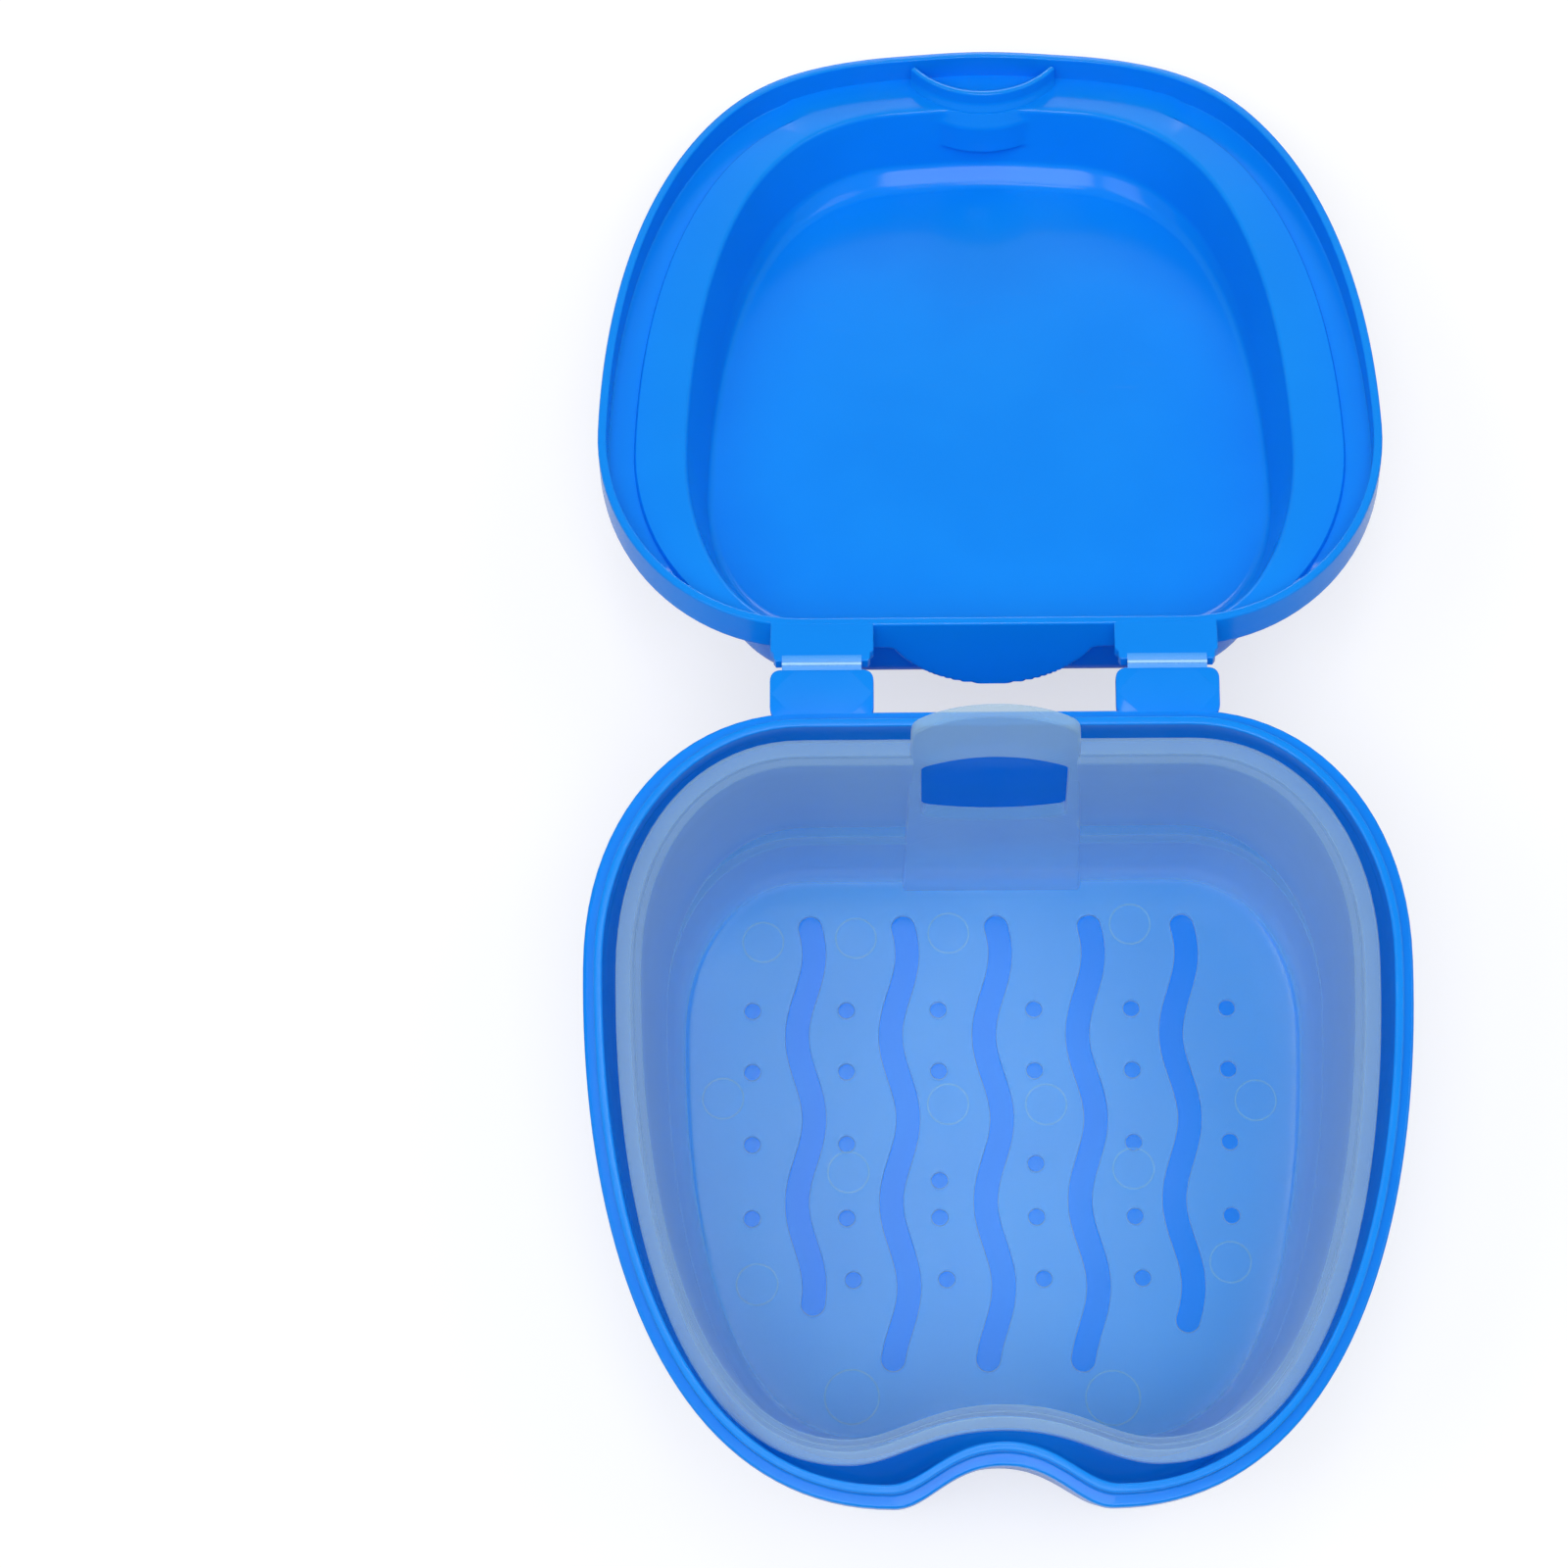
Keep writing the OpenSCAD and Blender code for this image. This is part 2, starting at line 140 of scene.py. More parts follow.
# %% Rounded profiles
def rounded(rows, steps=5):
    """Rows are (radius, z, reach, ...). A corner with a radius becomes a curve of several rows."""
    made = []
    for i, (radius, *here) in enumerate(rows):
        p = np.array(here, float)
        if radius == 0 or i in (0, len(rows) - 1):
            made.append(p)
            continue
        ends = []
        for other in (rows[i - 1], rows[i + 1]):
            q = np.array(other[1:], float)
            gap = math.hypot(q[0] - p[0], q[1] - p[1])
            ends.append(p + (q - p) * min(radius / gap, 0.49))
        for t in np.linspace(0, 1, steps):
            made.append((1 - t) ** 2 * ends[0] + 2 * t * (1 - t) * p + t * t * ends[1])
    return made


def split_tall(rows, step):
    """Adds rows so that none is more than a step above the last."""
    made = [rows[0]]
    for a, b in zip(rows, rows[1:]):
        count = max(1, math.ceil(abs(b[0] - a[0]) / step))
        made += [a + (b - a) * k / count for k in range(1, count + 1)]
    return made


# %% [markdown]
# ## From rings to meshes
# `place` turns (x, d, z) into metres in the shared frame, and `turned_back` swings the lid open about
# the hinge line first. `skin` joins rings with quads and closes the ends with a fan. `make` gives the
# mesh outward normals that are smooth except at real creases.

# %% Mesh helpers
def place(points):
    p = np.asarray(points, float)
    return np.stack([p[:, 0], HINGE_Y - p[:, 1], SHOULDER_Z + p[:, 2]], 1) * MM


def turned_back(points):
    p = np.asarray(points, float)
    c, s = math.cos(LID_TURN), math.sin(LID_TURN)
    y, z = -p[:, 1], p[:, 2]
    return np.stack([p[:, 0], -(y * c + z * s), -y * s + z * c], 1)


def finish_mesh(mesh, crease):
    work = bmesh.new()
    work.from_mesh(mesh)
    bmesh.ops.remove_doubles(work, verts=work.verts, dist=1e-7)
    bmesh.ops.recalc_face_normals(work, faces=work.faces)
    work.to_mesh(mesh)
    work.free()
    mesh.shade_smooth()
    mesh.set_sharp_from_angle(angle=math.radians(crease))


def make(name, points, faces, body, cad=(), finish=None, crease=38.0):
    """A piece that rides on a body, stands for CAD nodes and takes a finish from the record's slots."""
    mesh = bpy.data.meshes.new(name)
    mesh.from_pydata([tuple(map(float, p)) for p in points], [], [tuple(map(int, f)) for f in faces])
    finish_mesh(mesh, crease)
    piece = bpy.data.objects.new(name, mesh)
    bpy.context.scene.collection.objects.link(piece)
    if body:
        even = piece.modifiers.new("even_shading", "WEIGHTED_NORMAL")
        even.keep_sharp = True
        even.weight = 80
        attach(piece, body)
        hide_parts(*cad)
        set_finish(piece, finish)
        print(f"{name}: {len(mesh.vertices)} points, {len(mesh.polygons)} faces")
    return piece


def skin(rings, capped=True):
    """Points and faces of a surface through rings."""
    rings = [np.asarray(r, float) for r in rings]
    n, m = len(rings[0]), len(rings)
    points = np.concatenate(rings)
    faces = [(j * n + i, j * n + (i + 1) % n, (j + 1) * n + (i + 1) % n, (j + 1) * n + i)
             for j in range(m - 1) for i in range(n)]
    if capped:
        points = np.concatenate([points, [rings[0].mean(0), rings[-1].mean(0)]])
        for i in range(n):
            k = (i + 1) % n
            faces += [(m * n, k, i), (m * n + 1, (m - 1) * n + i, (m - 1) * n + k)]
    return points, faces


# %% [markdown]
# ## The base
# The base is a deep thin-walled cup. Its wall leans in so that it leaves the mould, its lower edge is
# well rounded, and its rim has a shoulder for the lid with an upstand inside it. The whole profile, from
# the underside over the rim to the inner floor, is one list of corners: a radius, a height and how far the
# ring lies inside the rim. The upstand's plan has slightly rounder corners, which lets the lid go over it.

# %% The base shell
WALL_T, FLOOR_T, DRAFT = 1.6, 1.9, math.tan(math.radians(5.5))
EDGE_H, SHOULDER_W, UPSTAND_T = 1.6, 1.25, 0.9
LOBE_SPREAD, UPSTAND_FULL = 0.3, 0.985
CAP_REACH, OUTER_BEND, INNER_BEND = 9, 6.5, 4.5
floor_z = FLOOR_T - SHOULDER_Z
low_in = (-floor_z - INNER_BEND - EDGE_H) * DRAFT
inner_top = SHOULDER_W + UPSTAND_T
inner_low = low_in + WALL_T
base_profile = rounded([
    (0, -SHOULDER_Z, low_in + CAP_REACH),
    (OUTER_BEND, -SHOULDER_Z, low_in + 0.6),
    (0.8, -EDGE_H, 0),
    (0.35, 0, 0),
    (0.15, 0, SHOULDER_W),
    (0.24, UPSTAND_H, SHOULDER_W),
    (0.24, UPSTAND_H, inner_top),
    (2.0, -EDGE_H, inner_top + 0.1),
    (INNER_BEND, floor_z, inner_low + 0.4),
    (0, floor_z, inner_low + CAP_REACH)], steps=7)


def base_fullness(z, inset):
    """The upstand's corners are cut a little rounder than the rim's, so that the lid's skirt goes over."""
    share = min(max(1 + z / EDGE_H, 0), 1) if inset > SHOULDER_W / 2 else 0
    return CORNER_FULL + (UPSTAND_FULL - CORNER_FULL) * share


base_rings = [ring_at(z, HALF_W - i, BACK_D + i, FRONT_D - i, NOTCH_DIP, LOBE_X + LOBE_SPREAD * i,
                      full=base_fullness(z, i)) for z, i in base_profile]
points, faces = skin(base_rings)
make("base_moulding", place(points), faces, "base", ["base_shell"], "case_blue")

# %% [markdown]
# ## Flat pieces with holes
# Hinge leaves, the handle and the basket's floor are all flat plates with soft edges. Cutting holes with
# a Boolean leaves ragged shading, so a plate is built from its loops instead: each loop steps in a little
# towards each face to round the edge, and a Delaunay triangulation fills what lies between the loops.

# %% Plates from loops
def signed_area(loop):
    x, y = loop[:, 0], loop[:, 1]
    return 0.5 * float(np.sum(x * np.roll(y, -1) - np.roll(x, -1) * y))


def unit_rows(rows):
    return rows / np.linalg.norm(rows, axis=1)[:, None]


def loop_normals(loop):
    """Unit normals to the left of the way along a closed loop."""
    ahead, behind = np.roll(loop, -1, 0) - loop, loop - np.roll(loop, 1, 0)
    along = unit_rows(unit_rows(ahead) + unit_rows(behind))
    return np.stack([-along[:, 1], along[:, 0]], 1)


def inside(points, loop):
    """Which points lie inside a closed loop, by counting crossings."""
    x, y = points[:, 0][:, None], points[:, 1][:, None]
    a, b = loop, np.roll(loop, -1, 0)
    crosses = (a[:, 1] > y) != (b[:, 1] > y)
    rise = np.where(a[:, 1] == b[:, 1], 1, b[:, 1] - a[:, 1])
    at = a[:, 0] + (y - a[:, 1]) * (b[:, 0] - a[:, 0]) / rise
    return (crosses & (x < at)).sum(1) % 2 == 1


def fill(loops):
    """Triangles between an outer loop and its holes, over the loops' points in order."""
    flat = np.concatenate(loops)
    edges, start = [], 0
    for loop in loops:
        n = len(loop)
        edges += [(start + i, start + (i + 1) % n) for i in range(n)]
        start += n
    made = delaunay_2d_cdt([Vector(p) for p in flat], edges, [], 0, 1e-6)
    back = {i: old[0] for i, old in enumerate(made[3]) if old}
    triangles = np.array([[back[i] for i in tri] for tri in made[2]])
    middles = flat[triangles].mean(1)
    keep = inside(middles, loops[0])
    for loop in loops[1:]:
        keep &= ~inside(middles, loop)
    return triangles[keep]


def plate(loops, low, high, edge=0.2, steps=4, outer_edge=True):
    """Points (u, v, height) and faces of a plate. The first loop is its outline, the others are holes.
    Without its outer edge, the outline is left open for another surface to join."""
    loops = [np.asarray(l, float) for l in loops]
    loops = [l if (signed_area(l) > 0) == (i == 0) else l[::-1] for i, l in enumerate(loops)]
    normals = [loop_normals(l) * (outer_edge or i > 0) for i, l in enumerate(loops)]
    turn = np.linspace(0, math.pi / 2, steps)
    levels = [(edge * (1 - math.sin(a)), high - edge * (1 - math.cos(a))) for a in turn]
    levels += [(step, low + high - z) for step, z in levels[::-1]]
    points, count = [], sum(len(l) for l in loops)
    for step, z in levels:
        points += [(u, v, z) for l, n in zip(loops, normals) for u, v in l + n * step]
    triangles = fill([l + n * levels[0][0] for l, n in zip(loops, normals)])
    bottom = count * (len(levels) - 1)
    faces = [tuple(t) for t in triangles] + [tuple(bottom + t[::-1]) for t in triangles]
    for k in range(len(levels) - 1):
        a, b = k * count, (k + 1) * count
        for i, l in enumerate(loops):
            n = len(l)
            if i > 0 or outer_edge:
                faces += [(a + j, b + j, b + (j + 1) % n, a + (j + 1) % n) for j in range(n)]
            a, b = a + n, b + n
    if not outer_edge:
        n = len(loops[0])
        for k in range(1, len(levels) - 1):
            for j in range(n):
                points[k * count + j] = points[j] if k < len(levels) / 2 else points[bottom + j]
    return np.array(points), faces


def line(a, b, count=60):
    return np.linspace(a, b, count)


def soft_loop(sides, radius, steps=7):
    """A closed loop from curves laid end to end, with the corners between them rounded."""
    kept = []
    for side in sides:
        far = np.minimum(np.linalg.norm(side - side[0], axis=1), np.linalg.norm(side - side[-1], axis=1))
        kept.append(side[far >= radius])
    loop = []
    for k, run in enumerate(kept):
        corner, after = sides[k][-1], kept[(k + 1) % len(kept)][0]
        t = np.linspace(0, 1, steps + 1)[1:-1, None]
        loop += [run, (1 - t) ** 2 * run[-1] + 2 * t * (1 - t) * corner + t * t * after]
    return np.concatenate(loop)


# %% [markdown]
# ## Hinge leaves and webs
# The hinge is the case itself: a stiff leaf on the base, a stiff leaf on the lid, and between them a web so
# thin that it folds. On the real case the web is one strip. Here each leaf carries its half of it, and
# both halves end in the same round bead on the hinge axis, so the fold stays closed at every angle.

# %% Leaves and webs
STRAP_X, LEAF_W, LEAF_T, LEAF_END = 18.0, 10.8, 1.3, 0.55
LEAF_ROOT, LEAF_CORNER, LEAF_STEP = BACK_D + 0.6, 1.2, 0.35
WEB_W, WEB_T, BEAD_R = 8.3, 0.4, 0.2
WEB_ROOT, WEB_START, WEB_TOP = 1.2, 0.35, -0.05
RIM_GAP, SUNK = 0.1, 0.03


def base_leaf_loop():
    h = LEAF_W / 2
    return soft_loop([line((-h, LEAF_END), (h, LEAF_END)), line((h, LEAF_END), (h, LEAF_ROOT)),
                      line((h, LEAF_ROOT), (-h, LEAF_ROOT)), line((-h, LEAF_ROOT), (-h, LEAF_END))],
                     LEAF_CORNER)


def lid_leaf_loop():
    """The lid's leaf has a small step at each of its free corners."""
    h = LEAF_W / 2
    right = [(h - 0.6, LEAF_END), (h - LEAF_STEP, 0.95), (h - LEAF_STEP, 1.6), (h, 1.95), (h, LEAF_ROOT)]
    return np.array([(-x, d) for x, d in right[::-1]] + right)


def web_section(over):
    """A web's section (d, z), from inside its leaf to the bead. The lid's half lies over the hinge line."""
    bead = [(-BEAD_R * math.sin(a), BEAD_R * math.cos(a)) for a in np.linspace(0, math.pi, 11)]
    section = [(WEB_ROOT, WEB_TOP), (WEB_START, WEB_TOP), *bead, (WEB_START, -WEB_T), (WEB_ROOT, -WEB_T)]
    return [(d, -z if over else z) for d, z in section]


for side, word in ((-1, "left"), (1, "right")):
    for over, body in ((False, "base"), (True, "lid")):
        shift = np.array([side * STRAP_X, 0, 0])
        low = RIM_GAP + SUNK if over else -LEAF_T - SUNK
        leaf_points, leaf_faces = plate([lid_leaf_loop() if over else base_leaf_loop()],
                                        low, low + LEAF_T, edge=0.16)
        web_points, web_faces = skin([[(x, d, z) for d, z in web_section(over)]
                                      for x in (-WEB_W / 2, WEB_W / 2)])
        turn = turned_back if over else (lambda p: p)
        make(f"{body}_strap_{word}", place(turn(leaf_points + shift)), leaf_faces, body,
             [f"{body}_leaf_{word}"], "case_blue")
        make(f"web_{word}_{body}_half", place(turn(web_points + shift)), web_faces, body,
             [f"hinge_web_{word}"], "hinge_web_blue")

# %% [markdown]
# ## The lid
# The lid is the hardest moulding. A skirt goes over the upstand, a ledge steps in from it, and a dome
# rises over the basket. A finger scoop is pressed into the dome's front, and an arched pocket at its back
# makes room for the handle. Both could be cut with Booleans. Shaping the rings with a soft minimum keeps
# the wall even and the edges rounded, as in the mould. The dome's front edge is cut to a slope and its back
# bends in, and a shallow groove runs along the ledge at the sides.

# %% Scoop, pocket and ledge
LID_H, SKIRT_H, SKIRT_T, LID_T = 14.0, 4.4, 0.95, 1.3
LID_FRONT, LID_FLAT = 88.3, 10.0
ledge_in, top_in = SKIRT_H - LID_T, LID_H - LID_T
DOME, TOP = np.array([33.0, 7.6, 82.0]), np.array([31.0, 9.6, 80.65])
FRONT_CUT, BACK_BEND, ROW_STEP = 1.8, 5.0, 0.35
GROOVE_DEEP, GROOVE_IN, GROOVE_BACK, GROOVE_FRONT_X = 0.5, 3.9, 13.8, 22.0
LEDGE_BACK = 0.16
LID_BOW, BOW_HALF, BOW_FROM, BOW_FULL = 0.95, 31.0, 60.0, 75.0
SCOOP_Z = (0.7, 2.3, 3.1, 4.6, 8.0, 9.0)
SCOOP_FACE = (81.95, 81.9, 81.2, 80.2, 79.9, 81.3)
SCOOP_R, SCOOP_WALL, SCOOP_SOFT, OUT_OF_REACH = 10.4, 1.2, 0.15, 1000.0
RIB_Z, RIB_T, RIB_HALF = SCOOP_Z[0], 0.75, 8.3
POCKET_Z, POCKET_R, POCKET_WALL, POCKET_SOFT = -0.9, 11.1, 1.0, 0.8
LID_COUNTS = (52, 24, 44, 48)


def soft_min(a, b, soft=SCOOP_SOFT):
    return (a + b) / 2 - np.hypot((a - b) / 2, soft)


def lid_outline(w, back, front):
    """The lid's plan. Its front is drawn in a little between its middle and its corners."""
    flat = outline(w, back, front, 0, LID_FLAT, counts=LID_COUNTS, full=1.0)
    x, d = flat[:, 0], flat[:, 1]
    inward = LID_BOW * np.sin(np.pi * np.minimum(np.abs(x) / BOW_HALF, 1)) ** 2
    return np.column_stack([x, d - inward * np.clip((d - BOW_FROM) / (BOW_FULL - BOW_FROM), 0, 1)])


def scoop_face(z):
    """How far forward the middle of the scoop's face is at a height."""
    return np.interp(z, SCOOP_Z, SCOOP_FACE)


def scooped(flat, z, wall):
    """Presses the scoop, an upright round face, into a ring."""
    x, d = flat[:, 0], flat[:, 1]
    q = (SCOOP_R - wall) ** 2 - x ** 2
    face = np.where(q > 0, scoop_face(z) + SCOOP_R - np.sqrt(np.maximum(q, 0)), OUT_OF_REACH)
    return np.column_stack([x, np.where(d > WIDE_D, soft_min(d, face), d)])


def pocketed(flat, z, is_inside):
    """Moves a ring's back out to the pocket's arched face."""
    x, d = flat[:, 0], flat[:, 1]
    face = BACK_D + (SKIRT_T if is_inside else 0.05)
    radius = POCKET_R + (0 if is_inside else POCKET_WALL)
    depth = np.clip((radius - np.hypot(x, z - POCKET_Z)) / POCKET_SOFT + 0.5, 0, 1)
    depth = np.where(d < CORNER_X, depth * depth * (3 - 2 * depth), 0)
    return np.column_stack([x, d + (face - d) * depth, np.full(len(x), z)])


def dome_ring(z, grow, is_inside, cut=0.0, bend=0.0):
    """A ring of the dome, drawn in at the front by a cut and at the back by a bend."""
    t = min(1.0, max(0.0, (z - ledge_in) / (top_in - ledge_in)))
    w, back, front = DOME + (TOP - DOME) * t
    flat = lid_outline(w + grow, back + bend - grow, front - cut + grow)
    return pocketed(scooped(flat, z, 0 if is_inside else SCOOP_WALL), z, is_inside)


def skirt_ring(z, inset):
    flat = lid_outline(HALF_W - inset, BACK_D + inset, LID_FRONT - inset)
    if z < ledge_in - 0.01:
        return np.column_stack([flat, np.full(len(flat), z)])
    return pocketed(flat, z, inset >= SKIRT_T - 0.3 and z < SKIRT_H - 0.6)


def groove_ring(inset, share):
    """A ring of the ledge. Along the sides it sinks into the groove by a share of its depth."""
    back = BACK_D + SKIRT_T + (inset - SKIRT_T) * LEDGE_BACK
    ring = pocketed(lid_outline(HALF_W - inset, back, LID_FRONT - inset), ledge_in, True)
    x, d = ring[:, 0], ring[:, 1]
    grooved = (d > GROOVE_BACK) & ((d < BOW_FROM) | (np.abs(x) > GROOVE_FRONT_X))
    return ring + np.outer(grooved, (0, 0, GROOVE_DEEP * share))


inner_dome = split_tall(rounded([
    (0, top_in, -CAP_REACH, FRONT_CUT, BACK_BEND),
    (0.7, top_in, 0, FRONT_CUT, BACK_BEND),
    (0.4, top_in - FRONT_CUT, 0, 0, BACK_BEND * 0.36),
    (1.5, top_in - 2.2 * FRONT_CUT, 0, 0, BACK_BEND * 0.08),
    (0.5, ledge_in, 0, 0, 0),
    (0, ledge_in, 0.9, 0, 0)], steps=9), ROW_STEP)
outer_dome = split_tall(rounded([
    (0, SKIRT_H, LID_T + 0.9),
    (0.7, SKIRT_H, LID_T),
    (2.6, LID_H, LID_T - 0.2),
    (0, LID_H, -CAP_REACH)], steps=9), ROW_STEP)
groove = [(GROOVE_IN + 0.1, 0), (GROOVE_IN, 0.2), (GROOVE_IN - 0.15, 1), (SKIRT_T + 0.2, 1),
          (SKIRT_T, 0.7)]
skirt = rounded([
    (0, ledge_in - 0.1, SKIRT_T),
    (0.2, RIM_GAP, SKIRT_T),
    (0.3, RIM_GAP, 0),
    (0.5, SKIRT_H, 0),
    (0, SKIRT_H, 0.75)], steps=6)
lid_rings = [dome_ring(z, grow, True, cut, bend) for z, grow, cut, bend in inner_dome]
lid_rings += [groove_ring(inset, share) for inset, share in groove]
lid_rings += [skirt_ring(z, inset) for z, inset in skirt]
lid_rings += [dome_ring(z, grow, False) for z, grow in outer_dome]
points, faces = skin(lid_rings)
make("lid_moulding", place(turned_back(points)), faces, "lid", ["lid_shell"], "case_blue")

# %% [markdown]
# ### The scoop's wall
# Below the ledge the scoop goes on as a thin curved wall that stands beside the notch of the base. It is
# a strip with a round top, swept along the scoop's own curve.

# %% The scoop's wall
rib_foot, rib_turn = ledge_in + 0.8, math.asin(RIB_HALF / SCOOP_R)
lip, waist = scoop_face(RIB_Z), scoop_face(ledge_in) + 0.1
rib_section = rounded([
    (0, rib_foot, 0, waist),
    (0.25, ledge_in, 0, waist),
    (0.4, SCOOP_Z[1], 0, SCOOP_FACE[1]),
    (0.3, RIB_Z, 0, lip),
    (0.3, RIB_Z, RIB_T, lip),
    (0, rib_foot, RIB_T, lip)])
rib_rings = [[((SCOOP_R - w) * math.sin(a), face + SCOOP_R - (SCOOP_R - w) * math.cos(a), z)
              for z, w, face in rib_section] for a in np.linspace(-rib_turn, rib_turn, 61)]
points, faces = skin(rib_rings)
make("lid_scoop_wall", place(turned_back(points)), faces, "lid", (), "case_blue")

# %% [markdown]
# ## The basket
# The basket is a second moulding: a wall with a flanged rim, a floor with wavy drain slots and small
# holes, and a tall handle. The wall is rings again, but the floor is a plate whose outline is the wall's
# last ring, so the two share their points and the milky plastic shows no seam.

# %% Slots and holes
BASKET_Z, BASKET_T, FLANGE_T, STEP_H, LEDGE_Z = -0.5, 1.15, 1.4, 0.7, -24.0
basket_top_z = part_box("basket_floor")[1][2] / MM - SHOULDER_Z
basket_low_z = basket_top_z - BASKET_T
FLOOR_PLAN = (32.6, 15.2, 75.0, 2.6, 14.0)
SLOT_W, SLOT_SWING, SLOT_WAVE, SLOT_PITCH = 2.6, 0.95, 18.6, 10.35
SLOT_BACK, SLOT_CREST = 19.5, 22.5
SLOT_ENDS = (61.5, 67.6, 67.7, 67.8, 63.6)
HOLE_D = 1.8
HOLE_ROWS = (28.9, 35.8, 43.9, 52.1, 58.9)
HOLE_COLUMNS = (-26.6, -16.2, -6.0, 4.6, 15.4, 26.0)
HOLE_DROPS = {(2, 2): 4.1, (2, 3): 2.3}
LAST_PUSH = 0.7


def arc(centre, radius, start, end, steps):
    a = np.radians(np.linspace(start, end, steps))
    return np.stack([centre[0] + radius * np.cos(a), centre[1] + radius * np.sin(a)], 1)


def slot_loop(x0, end):
    """One wavy slot: an even width either side of a cosine, with round ends."""
    def at(d, angle):
        phase = math.tau * (d - SLOT_CREST) / SLOT_WAVE
        a = math.atan(-SLOT_SWING * math.tau / SLOT_WAVE * math.sin(phase)) + math.radians(angle)
        return x0 + SLOT_SWING * math.cos(phase) + SLOT_W / 2 * math.cos(a), d - SLOT_W / 2 * math.sin(a)
    along, ends = np.linspace(SLOT_BACK, end, 60), np.linspace(0, 180, 14)[1:-1]
    return np.array([at(d, 0) for d in along] + [at(end, -a) for a in ends]
                    + [at(d, 180) for d in along[::-1]] + [at(SLOT_BACK, 180 - a) for a in ends])


def hole_loops():
    """Round holes in rows. The last row leaves out its two end holes."""
    last_row, last_column = len(HOLE_ROWS) - 1, len(HOLE_COLUMNS) - 1
    for row, d in enumerate(HOLE_ROWS):
        for column, x in enumerate(HOLE_COLUMNS):
            if row < last_row or 0 < column < last_column:
                push = LAST_PUSH if row == last_row else 0
                yield arc((x + push, d + HOLE_DROPS.get((row, column), 0)), HOLE_D / 2, 0, 345, 24)


drains = [slot_loop((i - 2) * SLOT_PITCH, end) for i, end in enumerate(SLOT_ENDS)] + list(hole_loops())
print("drain openings:", len(drains))

# %% [markdown]
# ### Wall and floor
# The rows run from the floor's underside up the outside, over the rim and down the inside. Each has a
# radius and a height, then the plan at that height: half width, back, front, notch and lobes.

# %% The basket's cup
t = BASKET_T
cup_rows = rounded([
    (0, basket_low_z, *FLOOR_PLAN),
    (1.6, basket_low_z, 35.0, 13.2, 77.2, 2.9, 14.8),
    (3.0, basket_low_z + 5.5, 34.7 + t, 13.9 - t, 77.0 + t, 3.1, 15.3),
    (0.6, LEDGE_Z - t, 35.2 + t, 13.4 - t, 78.5 + t, 3.2, 15.6),
    (0.6, LEDGE_Z - t + 0.2, 35.3 + t, 11.6 - t, 78.6 + t, 3.2, 15.6),
    (0.25, BASKET_Z - FLANGE_T, 36.6 + t, 10.6 - t, 80.2 + t, 3.4, 15.6),
    (0.2, BASKET_Z - FLANGE_T, 39.2, 8.0, 82.8, 3.4, 15.6),
    (0.3, BASKET_Z, 39.2, 8.0, 82.8, 3.4, 15.6),
    (0.2, BASKET_Z, 37.4, 9.8, 81.0, 3.4, 15.6),
    (0.2, BASKET_Z - STEP_H, 37.3, 9.9, 80.9, 3.4, 15.6),
    (0.3, BASKET_Z - STEP_H, 36.6, 10.6, 80.2, 3.4, 15.6),
    (0.3, LEDGE_Z + 0.2, 35.3, 11.6, 78.6, 3.2, 15.6),
    (0.4, LEDGE_Z, 35.2, 13.4, 78.5, 3.2, 15.6),
    (2.0, basket_top_z + 4.5, 34.7, 13.9, 77.0, 3.1, 15.3),
    (1.2, basket_top_z, 34.1, 14.3, 76.3, 2.9, 14.8),
    (0, basket_top_z, *FLOOR_PLAN)], steps=5)
wall_points, wall_faces = skin([ring_at(row[0], *row[1:]) for row in cup_rows], capped=False)
floor_points, floor_faces = plate([outline(*FLOOR_PLAN)] + drains, basket_low_z, basket_top_z,
                                  edge=0.22, outer_edge=False)
cup_points = np.concatenate([wall_points, floor_points])
cup_faces = wall_faces + [tuple(np.array(f) + len(wall_points)) for f in floor_faces]

# %% [markdown]
# ### The handle
# The handle closes the basket's back and leans back as it rises. It has an arched window for a finger.
# Here a Boolean is the honest tool, since the wall really ends at the handle: the wall's middle is cut out
# and the handle joined in, and all of the basket becomes one closed mesh.

# %% The handle
FOOT_D, TOP_D, FOOT_HALF, TOP_HALF = 15.4, 8.4, 9.9, 8.7
HANDLE_UP, HANDLE_T, ARCH_R, ARCH_DROP, SINK = 9.5, 1.5, 10.5, 4.6, 0.6
WINDOW_HALF, WINDOW_LOW, WINDOW_HIGH, WINDOW_SAG, WINDOW_SIDE = 7.7, -16.2, -1.0, 1.3, 2.8
HANDLE_CORNER, HANDLE_EDGE = 0.9, 0.3
run = HANDLE_UP - basket_top_z
tilt = math.atan((FOOT_D - TOP_D) / run)
plate_len = run / math.cos(tilt)


def stand_up(points):
    """Turns (x, length along the plate, depth behind its front) into (x, d, z)."""
    p = np.asarray(points, float)
    back, up = p[:, 2], p[:, 1]
    return np.stack([p[:, 0], FOOT_D - back * math.cos(tilt) - up * math.sin(tilt),
                     basket_top_z - back * math.sin(tilt) + up * math.cos(tilt)], 1)


def along_plate(z):
    return (z - basket_top_z) / math.cos(tilt)


def bow(x0, x1, y_ends, y_middle, count=80):
    """A shallow curve between two points at one height."""
    x = np.linspace(x0, x1, count)
    return np.stack([x, y_middle + (y_ends - y_middle) * (2 * (x - x0) / (x1 - x0) - 1) ** 2], 1)


